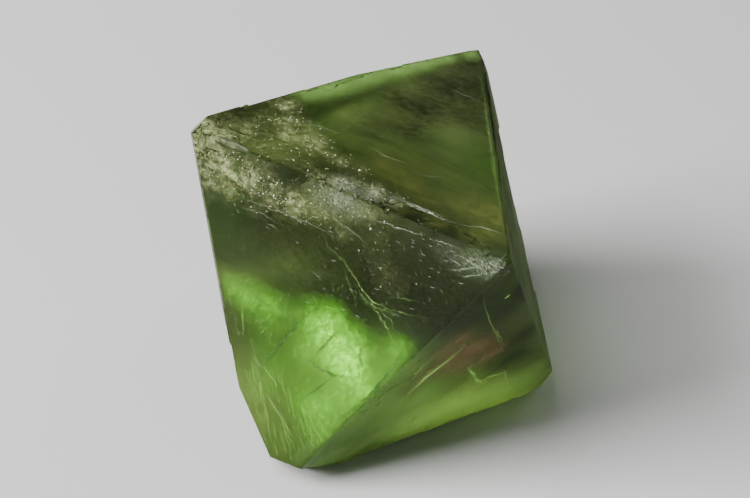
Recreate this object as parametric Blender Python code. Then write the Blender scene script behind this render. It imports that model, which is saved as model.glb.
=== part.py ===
"""A green fluorite crystal, cleaved to an eight-sided block and lying on one of its faces.

Fluorite splits along four directions of planes. A lump that is split on all four, front and back,
becomes an octahedron. This one is close to regular. Its tips are chipped, its edges are nicked,
and shallow terraces are left where a split jumped from one layer to the next.
Metres, +Z up. The origin is on the ground, under the middle of the block.
"""
import math
import random

import bmesh
import bpy
from mathutils import Matrix, Vector

NAME = "fluorite_octahedron"
SEED = 48
ROUGH_LUMP = 0.070  # side of the block of stone that the crystal is split from

# Each face: azimuth and lean of its outward normal in degrees, and its distance from the
# crystal's centre. Positive lean looks up. Neighbours stand 60 degrees apart round the block,
# and lean in and out by about 19.5 degrees in turn, which is the octahedron's own angle.
FACES = {
    "top": (-99.8, 88.8, 0.01577),
    "front": (-111.8, 17.9, 0.01538),
    "front_right": (-48.6, -17.9, 0.01587),
    "right": (8.2, 20.5, 0.01531),
    "back_right": (68.4, -19.5, 0.01561),
    "back": (130.8, 19.5, 0.01619),
    "left": (-172.6, -17.5, 0.01556),
    "base": (0.0, -90.0, 0.01554),
}

# Each tip: the three faces that meet there, and how much of it is worn off.
TIPS = {
    "left_tip": (("top", "front", "left"), 0.0005),
    "back_tip": (("top", "right", "back"), 0.0005),
    "front_tip": (("top", "front", "right"), 0.0005),
    "right_foot": (("front_right", "right", "back_right"), 0.0005),
    "front_foot": (("front", "front_right", "base"), 0.0008),
    "back_foot": (("back", "left", "base"), 0.0008),
}

# Each edge: the tips that it joins, the faces on its two sides, how many nicks it has,
# and how deep the deepest of them goes.
EDGES = [
    ("left_tip", "back_tip", "top", "back", 9, 0.00035),
    ("back_tip", "front_tip", "top", "right", 7, 0.00030),
    ("left_tip", "front_tip", "top", "front", 20, 0.00045),
    ("left_tip", "front_foot", "front", "left", 10, 0.00040),
    ("front_tip", "front_foot", "front", "front_right", 6, 0.00014),
    ("front_tip", "right_foot", "front_right", "right", 6, 0.00030),
    ("back_tip", "right_foot", "right", "back_right", 9, 0.00035),
    ("right_foot", "front_foot", "front_right", "base", 9, 0.00035),
    ("left_tip", "back_foot", "left", "back", 8, 0.00040),
    ("back_tip", "back_foot", "back", "back_right", 8, 0.00040),
    ("front_foot", "back_foot", "left", "base", 8, 0.00040),
    ("back_foot", "right_foot", "back_right", "base", 10, 0.00050),
]
NICK_CORNERS = 11  # points in the angular lump that breaks out each nick

# Each bevel: the two faces of the edge that it takes off, and how far in from the edge it
# meets the first and the second of them.
BEVELS = [
    ("back_right", "base", 0.0021, 0.0014),
    ("back_right", "base", 0.00115, 0.0035),
    ("front", "left", 0.0003, 0.0005),
    ("back", "left", 0.0006, 0.0004),
]

# Each flake: a flat break, given as a face is. Most are across a tip. The one on the back side
# takes a thin wedge off the back face, which leaves a faint crease down its middle.
FLAKES = {
    "left_tip": (163.8, 36.3, 0.02395),
    "back_tip_top": (115.8, 51.7, 0.02113),
    "back_tip_side": (19.7, 27.4, 0.01915),
    "right_foot": (-18.6, -20.8, 0.02253),
    "front_foot_left": (-158.1, -25.6, 0.01828),
    "front_foot_low": (-107.9, -49.9, 0.02315),
    "front_foot_right": (-64.9, -47.5, 0.02078),
    "back_foot": (150.0, -40.0, 0.02430),
    "back_side": (124.5, 19.5, 0.01616),
}

# Each scar: a long shallow flake off an edge. The edge's two faces, where its middle is along
# the edge (0 to 1), its length and its depth.
SCARS = [
    ("front", "left", 0.88, 0.0050, 0.00035),
    ("top", "front", 0.13, 0.0060, 0.00045),
    ("back", "back_right", 0.38, 0.0120, 0.00060),
    ("left", "base", 0.62, 0.0110, 0.00060),
    ("left", "back", 0.45, 0.0130, 0.00050),
]
SCAR_WIDTH = 3.4   # half width of a scar's cutter against its depth
SCAR_RIPPLE = 0.03  # height of the faint ripples round the cutter against its size
SCAR_DETAIL = 3    # subdivisions of the ball that the cutter starts from

# Each terrace: the face that it lowers, the neighbour whose edge it follows, where it starts and
# ends along that edge (0 to 1), how far it reaches in from the edge, and how deep it is.
TERRACES = [
    ("top", "front", 0.04, 0.40, 0.0046, 0.00008),
    ("top", "front", 0.60, 0.88, 0.0024, 0.00010),
    ("top", "back", 0.38, 0.72, 0.0016, 0.00012),
    ("front", "left", 0.50, 0.97, 0.0030, 0.00020),
    ("front", "left", 0.68, 0.99, 0.0017, 0.00028),
    ("front", "top", 0.06, 0.34, 0.0030, 0.00010),
    ("front_right", "front", 0.42, 0.62, 0.0034, 0.00008),
    ("front_right", "base", 0.50, 0.95, 0.0028, 0.00014),
    ("right", "top", 0.15, 0.70, 0.0014, 0.00020),
    ("right", "back_right", 0.26, 0.76, 0.0064, 0.00062),
    ("back_right", "base", 0.10, 0.78, 0.0034, 0.00030),
    ("back_right", "right", 0.30, 0.85, 0.0022, 0.00024),
    ("back", "top", 0.20, 0.62, 0.0030, 0.00026),
    ("back", "left", 0.10, 0.50, 0.0024, 0.00030),
    ("left", "base", 0.25, 0.80, 0.0032, 0.00028),
    ("left", "front", 0.55, 0.90, 0.0022, 0.00024),
    ("base", "front_right", 0.30, 0.75, 0.0020, 0.00030),
]
TERRACE_JOGS = 7       # jogs in a terrace's inner border
CLEARANCE = 0.0020     # how far every terrace's cutter stands out past the stone
HEAL_DISTANCE = 0.000004  # corners closer than this are made one

STONE_COLOR = (0.20, 0.42, 0.10, 1.0)
STONE_ROUGHNESS = 0.06
STONE_IOR = 1.434
CUTTER_COLOR = (0.85, 0.25, 0.20, 1.0)


def direction(azimuth, lean):
    """Unit vector from its azimuth about +Z, counted from +X, and its lean above the ground."""
    around, up = math.radians(azimuth), math.radians(lean)
    return Vector((math.cos(up) * math.cos(around), math.cos(up) * math.sin(around), math.sin(up)))


def normal_of(face):
    azimuth, lean, _ = FACES[face]
    return direction(azimuth, lean)


def tip_point(tip):
    """Where the three faces of a tip meet, before it is chipped."""
    names, _ = TIPS[tip]
    rows = Matrix([normal_of(name) for name in names])
    distances = Vector([FACES[name][2] for name in names])
    return rows.inverted() @ distances


def edge_between(face, neighbour):
    """The two ends of the edge that two faces share, each on the line where the faces cross."""
    along = normal_of(face).cross(normal_of(neighbour)).normalized()
    rows = Matrix((normal_of(face), normal_of(neighbour), along))
    for tip_a, tip_b, face_a, face_b, _, _ in EDGES:
        if {face, neighbour} == {face_a, face_b}:
            ends = []
            for tip in (tip_a, tip_b):
                offsets = Vector((FACES[face][2], FACES[neighbour][2], along.dot(tip_point(tip))))
                ends.append(rows.inverted() @ offsets)
            return ends
    raise ValueError(f"{face} and {neighbour} share no edge")


def edge_axes(face, neighbour):
    """Start of a shared edge, its direction, and the way from it into each of its two faces."""
    start, end = edge_between(face, neighbour)
    along = (end - start).normalized()
    inward = []
    for name in (face, neighbour):
        across = normal_of(name).cross(along)
        inward.append(-across if across.dot(start) > 0.0 else across)
    return start, along, inward[0], inward[1]


def new_object(name, bm, collection, material):
    mesh = bpy.data.meshes.new(name)
    bm.to_mesh(mesh)
    bm.free()
    mesh.materials.append(material)
    made = bpy.data.objects.new(name, mesh)
    collection.objects.link(made)
    return made


def new_material(name, color, roughness, transmission, ior):
    material = bpy.data.materials.new(name)
    material.use_nodes = True
    shader = material.node_tree.nodes["Principled BSDF"]
    shader.inputs["Base Color"].default_value = color
    shader.inputs["Roughness"].default_value = roughness
    shader.inputs["Metallic"].default_value = 0.0
    shader.inputs["Transmission Weight"].default_value = transmission
    shader.inputs["IOR"].default_value = ior
    material.diffuse_color = color
    return material


def cleave(bm, normal, distance):
    """Split the stone on one plane, drop what lies beyond it, and close the new face."""
    everything = bm.verts[:] + bm.edges[:] + bm.faces[:]
    cut = bmesh.ops.bisect_plane(bm, geom=everything, plane_co=normal * distance,
                                 plane_no=normal, clear_outer=True)
    rim = [part for part in cut["geom_cut"] if isinstance(part, bmesh.types.BMEdge)]
    bmesh.ops.contextual_create(bm, geom=rim)


def split_stone():
    """The eight cleavage faces, then the bevelled edges, the flakes and the worn tips."""
    bm = bmesh.new()
    bmesh.ops.create_cube(bm, size=ROUGH_LUMP)
    for face, (_, _, distance) in FACES.items():
        cleave(bm, normal_of(face), distance)
    for face, neighbour, reach, neighbour_reach in BEVELS:
        start, along, inward, neighbour_inward = edge_axes(face, neighbour)
        slope = inward * reach - neighbour_inward * neighbour_reach
        facing = along.cross(slope).normalized()
        if facing.dot(start) < 0.0:
            facing.negate()
        cleave(bm, facing, facing.dot(start + inward * reach))
    for azimuth, lean, distance in FLAKES.values():
        cleave(bm, direction(azimuth, lean), distance)
    for tip, (_, worn) in TIPS.items():
        cleave(bm, tip_point(tip).normalized(), tip_point(tip).length - worn)
    bmesh.ops.recalc_face_normals(bm, faces=bm.faces)
    return bm


def nicks(rng, face, neighbour, count, deepest):
    """Angular lumps in a row across an edge. Each leaves a small chip where it is cut away."""
    start, end = edge_between(face, neighbour)
    outward = (normal_of(face) + normal_of(neighbour)).normalized()
    along = (end - start).normalized()
    axes = Matrix((along, outward.cross(along), outward)).transposed()
    spacing = (end - start).length / count
    row = bmesh.new()
    for number in range(count):
        depth = deepest * rng.uniform(0.35, 1.0)
        half_length = spacing * rng.uniform(0.15, 0.45)
        half_width = depth * rng.uniform(2.4, 4.0)
        half_height = depth * rng.uniform(2.0, 3.2)
        room = spacing / 2.0 - half_length
        middle = spacing * (number + 0.5) + room * rng.uniform(-0.9, 0.9)
        place = start + along * middle + outward * (half_height - depth)
        spots = [Vector((0.0, 0.0, -1.0)), Vector((1.0, 0.0, 0.0)), Vector((-1.0, 0.0, 0.0))]
        while len(spots) < NICK_CORNERS:
            spots.append(Vector([rng.gauss(0.0, 1.0) for _ in range(3)]).normalized())
        lump = bmesh.new()
        for spot in spots:
            sized = Vector((spot.x * half_length, spot.y * half_width, spot.z * half_height))
            lump.verts.new(place + axes @ sized)
        bmesh.ops.convex_hull(lump, input=lump.verts)
        loose = [vert for vert in lump.verts if not vert.link_faces]
        bmesh.ops.delete(lump, geom=loose, context="VERTS")
        bmesh.ops.recalc_face_normals(lump, faces=lump.faces)
        one = bpy.data.meshes.new("nick")
        lump.to_mesh(one)
        lump.free()
        row.from_mesh(one)
        bpy.data.meshes.remove(one)
    return row


def scar(rng, face, neighbour, place, length, depth):
    """A long rippled ball along an edge, sunk to the scar's depth. Its size follows from both."""
    start, end = edge_between(face, neighbour)
    outward = (normal_of(face) + normal_of(neighbour)).normalized()
    along = (end - start).normalized()
    axes = Matrix((along, outward.cross(along), outward)).transposed()
    half_width = depth * SCAR_WIDTH
    half_length = length / 2.0 / math.sqrt(1.0 - (1.0 - 1.0 / SCAR_WIDTH) ** 2)
    centre = start.lerp(end, place) + outward * (half_width - depth)
    bm = bmesh.new()
    bmesh.ops.create_icosphere(bm, subdivisions=SCAR_DETAIL, radius=1.0)
    phase = rng.uniform(0.0, math.tau)
    for vert in bm.verts:
        ripple = 1.0 + SCAR_RIPPLE * math.sin(9.0 * vert.co.z + 4.0 * vert.co.x + phase)
        sized = Vector((vert.co.x * half_length, vert.co.y * half_width, vert.co.z * half_width))
        vert.co = centre + axes @ (sized * ripple)
    return bm


def terrace(rng, face, neighbour, begin, finish, reach, depth):
    """A thin slab along an edge. Its inner border runs with the edge and jogs at 60 degrees."""
    start, along, inward, _ = edge_axes(face, neighbour)
    far_end = edge_between(face, neighbour)[1]
    outward = normal_of(face)
    edge_length = (far_end - start).length
    left, right = begin * edge_length, finish * edge_length
    border = []
    place, inset = left, reach * rng.uniform(0.3, 0.6)
    for jog in range(TERRACE_JOGS):
        run = (right - left) / TERRACE_JOGS * rng.uniform(0.55, 1.0)
        border.append((place, inset))
        border.append((place + run, inset))
        next_inset = reach * rng.uniform(0.35, 1.0)
        place = max(place + run + abs(next_inset - inset) * math.tan(math.radians(30.0)),
                    left + (right - left) * (jog + 1) / TERRACE_JOGS)
        inset = next_inset
    outline = [(left, -CLEARANCE)] + border + [(border[-1][0], -CLEARANCE)]
    bm = bmesh.new()
    corners = [bm.verts.new(start + along * u + inward * v - outward * depth) for u, v in outline]
    floor = bm.faces.new(corners)
    raised = bmesh.ops.extrude_face_region(bm, geom=[floor])
    top = [part for part in raised["geom"] if isinstance(part, bmesh.types.BMVert)]
    bmesh.ops.translate(bm, verts=top, vec=outward * (depth + CLEARANCE))
    bmesh.ops.recalc_face_normals(bm, faces=bm.faces)
    return bm


def make_cutters(collection, material):
    """The cutters: one for each scar, one for each terrace, and one for each edge's nicks."""
    rng = random.Random(SEED)
    for row, (face, neighbour, place, length, depth) in enumerate(SCARS):
        hollow = scar(rng, face, neighbour, place, length, depth)
        new_object(f"scar_{row + 1}", hollow, collection, material)
    for row, (face, neighbour, begin, finish, reach, depth) in enumerate(TERRACES):
        slab = terrace(rng, face, neighbour, begin, finish, reach, depth)
        new_object(f"terrace_{row + 1:02d}", slab, collection, material)
    for _, _, face, neighbour, count, deepest in EDGES:
        row = nicks(rng, face, neighbour, count, deepest)
        new_object(f"nicks_{face}_{neighbour}", row, collection, material)
    for cutter in collection.objects:
        cutter.hide_render = True
        cutter.display_type = "WIRE"


def stand_on_ground(stone, centre):
    """Move the stone's centre so that its base is on the ground and its middle over the origin."""
    view = bpy.context.evaluated_depsgraph_get()
    corners = [vert.co for vert in stone.evaluated_get(view).data.vertices]
    low = Vector([min(corner[axis] for corner in corners) for axis in range(3)])
    high = Vector([max(corner[axis] for corner in corners) for axis in range(3)])
    middle = (low + high) / 2.0
    centre.location = (-middle.x, -middle.y, -low.z)


for old in list(bpy.data.objects):
    bpy.data.objects.remove(old)

stone_collection = bpy.data.collections.new(NAME)
cutter_collection = bpy.data.collections.new("cutters")
for group in (stone_collection, cutter_collection):
    bpy.context.scene.collection.children.link(group)

fluorite = new_material("fluorite", STONE_COLOR, STONE_ROUGHNESS, 1.0, STONE_IOR)
cutter_red = new_material("cutter", CUTTER_COLOR, 0.5, 0.0, 1.5)

crystal_centre = bpy.data.objects.new("crystal_centre", None)
stone_collection.objects.link(crystal_centre)
make_cutters(cutter_collection, cutter_red)
crystal = new_object("fluorite_crystal", split_stone(), stone_collection, fluorite)
for cutter in cutter_collection.objects:
    chip = crystal.modifiers.new(cutter.name, "BOOLEAN")
    chip.operation = "DIFFERENCE"
    chip.object = cutter
    chip.solver = "EXACT"
heal = crystal.modifiers.new("heal", "WELD")
heal.merge_threshold = HEAL_DISTANCE
for piece in (crystal, *cutter_collection.objects):
    piece.parent = crystal_centre
stand_on_ground(crystal, crystal_centre)
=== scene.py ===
import math

import bmesh
import bpy
from mathutils import Matrix, Vector, noise
from mathutils.bvhtree import BVHTree


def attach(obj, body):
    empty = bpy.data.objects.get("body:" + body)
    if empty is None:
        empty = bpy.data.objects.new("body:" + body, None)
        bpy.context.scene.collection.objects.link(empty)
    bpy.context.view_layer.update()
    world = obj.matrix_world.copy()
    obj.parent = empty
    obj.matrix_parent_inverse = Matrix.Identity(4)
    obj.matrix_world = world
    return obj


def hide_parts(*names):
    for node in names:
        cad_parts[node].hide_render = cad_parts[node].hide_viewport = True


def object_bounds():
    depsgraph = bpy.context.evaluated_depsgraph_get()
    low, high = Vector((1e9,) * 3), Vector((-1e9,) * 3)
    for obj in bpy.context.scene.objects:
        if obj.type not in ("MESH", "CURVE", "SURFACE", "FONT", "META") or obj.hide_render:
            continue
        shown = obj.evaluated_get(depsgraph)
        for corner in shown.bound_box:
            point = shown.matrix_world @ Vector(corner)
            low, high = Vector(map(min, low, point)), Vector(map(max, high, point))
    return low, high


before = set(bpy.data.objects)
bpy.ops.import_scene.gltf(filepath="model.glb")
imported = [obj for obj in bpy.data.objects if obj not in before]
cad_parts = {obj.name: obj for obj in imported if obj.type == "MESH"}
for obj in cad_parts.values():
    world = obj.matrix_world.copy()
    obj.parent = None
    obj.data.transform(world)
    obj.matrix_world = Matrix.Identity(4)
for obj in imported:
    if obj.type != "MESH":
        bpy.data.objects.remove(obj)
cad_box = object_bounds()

# ---- The stone ------------------------------------------------------------------------------
# A block of clear green fluorite, split on its cleavage planes and left unpolished.
# The planes are bright but not quite smooth: faint waves and fine pits cover them. The colour
# varies a little at random, and on top of that carries painted shade and painted light: the
# "dark" zones and the rear faces are tinted nearly black as painted shade, standing in for dark
# surroundings seen through the stone, and the "clear" zones are tinted pale as painted light,
# where light shining through the stone shows.
MM = 0.001
CENTRE = Vector((-0.248, 0.058, 15.54)) * MM  # the middle of the stone

TIPS = {  # corners of the whole octahedron, in millimetres from its centre
    "left_tip": (-20.95, -3.59, 15.62),
    "back_tip": (7.52, 19.92, 16.21),
    "front_tip": (13.16, -17.29, 15.46),
    "right_foot": (21.73, 3.44, -15.13),
    "front_foot": (-5.67, -20.54, -15.54),
    "back_foot": (-13.76, 17.28, -15.54),
}
FACES = {  # each face: the two ends of the edge that it is measured along, and the tip opposite
    "top": ("left_tip", "front_tip", "back_tip"),
    "front": ("left_tip", "front_tip", "front_foot"),
    "front_right": ("front_tip", "front_foot", "right_foot"),
    "right": ("back_tip", "front_tip", "right_foot"),
    "back_right": ("back_tip", "right_foot", "back_foot"),
    "back": ("left_tip", "back_tip", "back_foot"),
    "left": ("left_tip", "front_foot", "back_foot"),
    "base": ("front_foot", "right_foot", "back_foot"),
}


def tip(name):
    return CENTRE + Vector(TIPS[name]) * MM


def face_axes(face):
    """Corner, direction along the edge, direction into the face, and outward normal."""
    start, end, far = [tip(name) for name in FACES[face]]
    along = (end - start).normalized()
    inward = ((far - start) - along * (far - start).dot(along)).normalized()
    outward = along.cross(inward)
    if outward.dot(start - CENTRE) < 0.0:
        outward.negate()
    return start, along, inward, outward


def in_face(face, along_mm, inset_mm, depth_mm):
    """A point under a face, by millimetres along its edge, in from the edge, and down."""
    start, along, inward, outward = face_axes(face)
    return start + (along * along_mm + inward * inset_mm - outward * depth_mm) * MM


def new_collection(name):
    made = bpy.data.collections.new(name)
    bpy.context.scene.collection.children.link(made)
    return made


def new_object(name, mesh, collection, material):
    mesh.materials.clear()
    mesh.materials.append(material)
    made = bpy.data.objects.new(name, mesh)
    collection.objects.link(made)
    return made


def new_material(name, values):
    """A material, its node tree, and its shader with these values in its sockets."""
    made = bpy.data.materials.new(name)
    made.use_nodes = True
    shader = made.node_tree.nodes["Principled BSDF"]
    for socket, value in values.items():
        shader.inputs[socket].default_value = value
    return made, made.node_tree, shader


def add(tree, kind, settings=None, values=None, links=None):
    """One node: its settings, its sockets' values, and the sockets that feed it."""
    node = tree.nodes.new(kind)
    for key, value in (settings or {}).items():
        setattr(node, key, value)
    for key, value in (values or {}).items():
        node.inputs[key].default_value = value
    for key, source in (links or {}).items():
        tree.links.new(source, node.inputs[key])
    return node


# Where the stone's colour changes over its faces. Each row is a soft round spot: millimetres
# along the face's edge, millimetres in from it, its radius, and its strength.
ZONES = {
    # Painted shade: the "dark" spots tint the stone nearly black, standing in for dark surroundings
    # seen through it, and on the right face for dark surroundings mirrored in it.
    "dark": {
        "front": [
            (11.0, 8.1, 3.6, 0.92), (14.8, 5.9, 3.6, 0.92), (18.4, 6.6, 4.7, 1.0),
            (23.3, 5.7, 4.7, 1.0), (27.7, 3.4, 4.2, 1.0), (30.8, 2.6, 3.0, 0.92),
            (16.0, 10.2, 2.5, 0.57), (21.5, 9.3, 2.7, 0.69), (28.9, 7.3, 3.6, 1.0),
            (32.1, 6.2, 3.0, 0.8), (27.9, 11.3, 1.7, 0.46), (12.5, 1.5, 2.6, 0.7),
            (18.0, 1.5, 3.6, 1.0), (23.5, 1.3, 3.6, 1.0), (28.5, 0.8, 3.0, 1.0), (8.6, 6.5, 2.0, 0.15),
            (9.3, 11.3, 2.0, 0.9), (7.8, 11.4, 1.5, 0.6), (11.0, 10.8, 2.0, 0.8),
        ],
        "top": [
            (18.8, 22.5, 3.9, 1.0), (18.3, 17.6, 2.7, 1.0), (19.0, 13.2, 2.0, 0.8),
            (15.4, 17.5, 2.2, 0.8), (21.2, 24.3, 2.5, 0.92), (22.5, 19.7, 2.0, 0.69),
            (18.2, 28.8, 2.6, 0.95), (14.5, 12.4, 2.0, 0.46),
        ],
        "front_right": [
            (7.5, 7.7, 4.4, 1.0), (11.5, 15.8, 4.2, 1.0), (4.3, 6.7, 3.6, 1.0), (8.3, 4.1, 3.4, 0.92),
            (10.6, 2.3, 2.9, 0.69), (15.5, 18.5, 3.6, 0.92), (12.0, 10.5, 4.2, 0.92),
            (17.5, 7.0, 3.2, 0.5), (19.5, 12.5, 3.0, 0.6), (2.0, 1.0, 3.0, 1.0), (6.0, 0.8, 3.0, 1.0),
            (10.0, 0.8, 3.0, 1.0), (14.5, 1.0, 3.0, 0.9), (19.0, 1.0, 2.6, 0.7),
        ],
        "right": [
            (6.0, 1.5, 4.0, 1.0), (14.0, 2.0, 4.0, 1.0), (22.0, 2.5, 4.0, 1.0), (30.0, 3.0, 4.0, 1.0),
            (10.0, 8.0, 5.0, 1.0), (20.0, 9.0, 5.0, 1.0), (27.0, 10.0, 5.0, 1.0),
            (18.0, 17.0, 5.0, 0.9), (22.0, 24.0, 5.0, 0.8),
        ],
    },
    "green": {
        "front": [(3.6, 6.2, 1.8, 0.7), (5.2, 7.6, 1.8, 0.6), (5.0, 10.2, 1.8, 0.5)],
        "front_right": [
            (18.5, 7.5, 3.2, 0.8), (21.0, 11.0, 3.5, 0.7), (24.5, 4.0, 3.0, 0.8), (29.0, 3.0, 3.0, 0.9),
            (33.0, 2.0, 3.0, 0.9),
        ],
        "top": [
            (27.7, 12.7, 2.6, 1.0), (25.3, 14.1, 1.9, 0.6), (11.0, 10.1, 2.3, 0.6),
            (12.8, 15.6, 1.7, 0.6), (22.0, 13.8, 1.7, 0.4), (31.5, 8.3, 1.3, 0.6),
        ],
    },
    "straw": {
        "top": [
            (19.4, 6.4, 1.9, 0.7), (23.0, 5.0, 1.7, 0.7), (31.9, 5.6, 1.9, 1.0), (29.4, 5.7, 1.5, 0.6),
            (23.1, 9.3, 1.5, 0.4),
        ],
    },
    "brown": {
        "front_right": [
            (14.3, 9.6, 3.2, 0.95), (12.7, 4.9, 1.8, 0.8), (13.5, 12.4, 2.2, 0.9),
            (17.5, 6.5, 2.2, 0.7), (19.8, 11.9, 2.2, 0.7),
        ],
    },
    "dull": {
        "right": [
            (6.0, 3.0, 7.0, 1.0), (16.0, 4.0, 8.0, 1.0), (26.0, 4.0, 8.0, 1.0), (34.0, 2.0, 6.0, 1.0),
            (12.0, 13.0, 8.0, 1.0), (22.0, 14.0, 8.0, 1.0), (18.0, 25.0, 8.0, 1.0),
        ],
        "front_right": [
            (6.0, 5.0, 7.0, 0.6), (14.0, 6.0, 7.0, 0.6), (22.0, 6.0, 7.0, 0.6), (30.0, 4.0, 6.0, 0.6),
            (15.0, 16.0, 7.0, 0.5), (22.0, 18.0, 7.0, 0.5),
        ],
    },
    # Painted light: the "clear" spots lift the tint to pale lime where the glow of light shining
    # through the stone is painted, on the front, along the top and on the front right corner.
    "clear": {
        "front": [
            (7.0, 7.4, 2.0, 0.5), (5.2, 7.8, 2.0, 0.35), (6.3, 9.5, 1.5, 0.3), (11.6, 14.9, 2.1, 0.9),
            (17.5, 15.2, 3.6, 1.0), (23.7, 16.5, 3.8, 1.0), (27.5, 13.8, 2.3, 1.0),
            (19.5, 21.8, 4.0, 1.0), (20.0, 27.4, 3.2, 1.0), (13.7, 22.1, 2.6, 1.0),
            (23.7, 22.3, 3.2, 1.0), (8.2, 14.6, 1.5, 0.7),
        ],
        "top": [
            (7.9, 13.6, 1.6, 0.5), (8.9, 15.1, 1.4, 0.45), (9.9, 16.6, 1.4, 0.45),
            (10.8, 18.3, 1.3, 0.5), (11.7, 20.1, 1.2, 0.55), (12.8, 22.3, 1.1, 0.5),
        ],
        "front_right": [
            (24.9, 16.1, 2.8, 0.7), (22.7, 21.2, 2.8, 0.8), (20.6, 25.5, 2.3, 0.8),
            (27.8, 11.9, 2.8, 0.6),
        ],
    },
}
ZONE_COLORS = {
    "dark": (0.01, 0.013, 0.006, 1.0),
    "green": (0.09, 0.22, 0.03, 1.0),
    "straw": (0.24, 0.2, 0.07, 1.0),
    "brown": (0.055, 0.035, 0.016, 1.0),
    "clear": (0.6, 0.9, 0.26, 1.0),
}
PALE_BODY = (0.38, 0.46, 0.18, 1.0)
DEEP_BODY = (0.11, 0.135, 0.055, 1.0)
# Painted shade: faces that look rearward are tinted dark, so that the stone looks dark where one sees
# through it to its back.
REAR_PAINTED_SHADE = (0.085, 0.125, 0.04, 1.0)
REARWARD = (0.0, 0.8, -0.6)  # the faces that look this way are the rear ones
DULL_ROUGHNESS = 0.92  # of the "dull" zones
CUT_PITCH = 1.1        # millimetres between the lines that the big faces are divided along
MERGE_DISTANCE = 0.000001
CUT_TOLERANCE = 1.0e-7
SPOT_FALL = 0.9        # how fast a spot fades with the square of the distance from its middle
SPOT_REACH = 9.0       # the same square, in radii, past which a spot of the stone's colour ends

stone_collection = new_collection("stone")
fluorite, tree, shader = new_material("fluorite", {
    "Metallic": 0.0, "Transmission Weight": 1.0, "IOR": 1.434,
    "Specular Tint": (0.32, 0.35, 0.28, 1.0)})
absorption = add(tree, "ShaderNodeVolumeAbsorption",
                 values={"Color": (0.5, 0.68, 0.18, 1.0), "Density": 34.0})
tree.links.new(absorption.outputs["Volume"], tree.nodes["Material Output"].inputs["Volume"])


def mix_colors(tree, color, target, factor):
    """Mixes a colour socket towards a fixed colour."""
    mix = add(tree, "ShaderNodeMix", {"data_type": "RGBA"}, {"B": target},
              {"Factor": factor, "A": color})
    return mix.outputs["Result"]


coords = add(tree, "ShaderNodeTexCoord")
facing = add(tree, "ShaderNodeVectorMath", {"operation": "DOT_PRODUCT"}, {1: REARWARD},
             {0: coords.outputs["Normal"]})
rear = add(tree, "ShaderNodeMapRange", values={"From Min": -0.12, "From Max": 0.2},
           links={"Value": facing.outputs["Value"]})
along_grain = add(tree, "ShaderNodeVectorRotate", {"rotation_type": "Z_AXIS"}, {"Angle": 0.38},
                  {"Vector": coords.outputs["Object"]})
drawn_out = add(tree, "ShaderNodeVectorMath", {"operation": "MULTIPLY"}, {1: (0.35, 1.0, 1.0)},
                {0: along_grain.outputs["Vector"]})
cloud = add(tree, "ShaderNodeTexNoise",
            values={"Scale": 260.0, "Detail": 8.0, "Roughness": 0.62, "Distortion": 0.5},
            links={"Vector": drawn_out.outputs["Vector"]})
cloud_mask = add(tree, "ShaderNodeMapRange", values={"From Min": 0.4, "From Max": 0.62},
                 links={"Value": cloud.outputs["Fac"]})
body_color = add(tree, "ShaderNodeMix", {"data_type": "RGBA"}, {"A": PALE_BODY, "B": DEEP_BODY},
                 {"Factor": cloud_mask.outputs["Result"]})
color = body_color.outputs["Result"]
# The "dark" zones mix in painted shade, the "clear" zones painted light.
for zone, target in ZONE_COLORS.items():
    amount = add(tree, "ShaderNodeAttribute", {"attribute_name": zone})
    color = mix_colors(tree, color, target, amount.outputs["Fac"])
# Painted shade on the rear faces.
color = mix_colors(tree, color, REAR_PAINTED_SHADE, rear.outputs["Result"])
tree.links.new(color, shader.inputs["Base Color"])

pits = add(tree, "ShaderNodeTexNoise", values={"Scale": 900.0, "Detail": 6.0, "Roughness": 0.6},
           links={"Vector": coords.outputs["Object"]})
waves = add(tree, "ShaderNodeTexNoise", values={"Scale": 120.0, "Detail": 3.0, "Roughness": 0.5},
            links={"Vector": coords.outputs["Object"]})
uneven = add(tree, "ShaderNodeMapRange",
             values={"From Min": 0.35, "From Max": 0.65, "To Min": 0.2, "To Max": 0.38},
             links={"Value": waves.outputs["Fac"]})
smooth_rear = add(tree, "ShaderNodeMix", {"data_type": "FLOAT"}, {"B": 0.1},
                  {"Factor": rear.outputs["Result"], "A": uneven.outputs["Result"]})
dull = add(tree, "ShaderNodeAttribute", {"attribute_name": "dull"})
worn = add(tree, "ShaderNodeMix", {"data_type": "FLOAT"}, {"B": DULL_ROUGHNESS},
           {"Factor": dull.outputs["Fac"], "A": smooth_rear.outputs["Result"]})
tree.links.new(worn.outputs["Result"], shader.inputs["Roughness"])
fine = add(tree, "ShaderNodeBump", values={"Strength": 0.25, "Distance": 0.00005},
           links={"Height": pits.outputs["Fac"]})
broad = add(tree, "ShaderNodeBump", values={"Strength": 0.35, "Distance": 0.0002},
            links={"Height": waves.outputs["Fac"], "Normal": fine.outputs["Normal"]})
tree.links.new(broad.outputs["Normal"], shader.inputs["Normal"])

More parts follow.
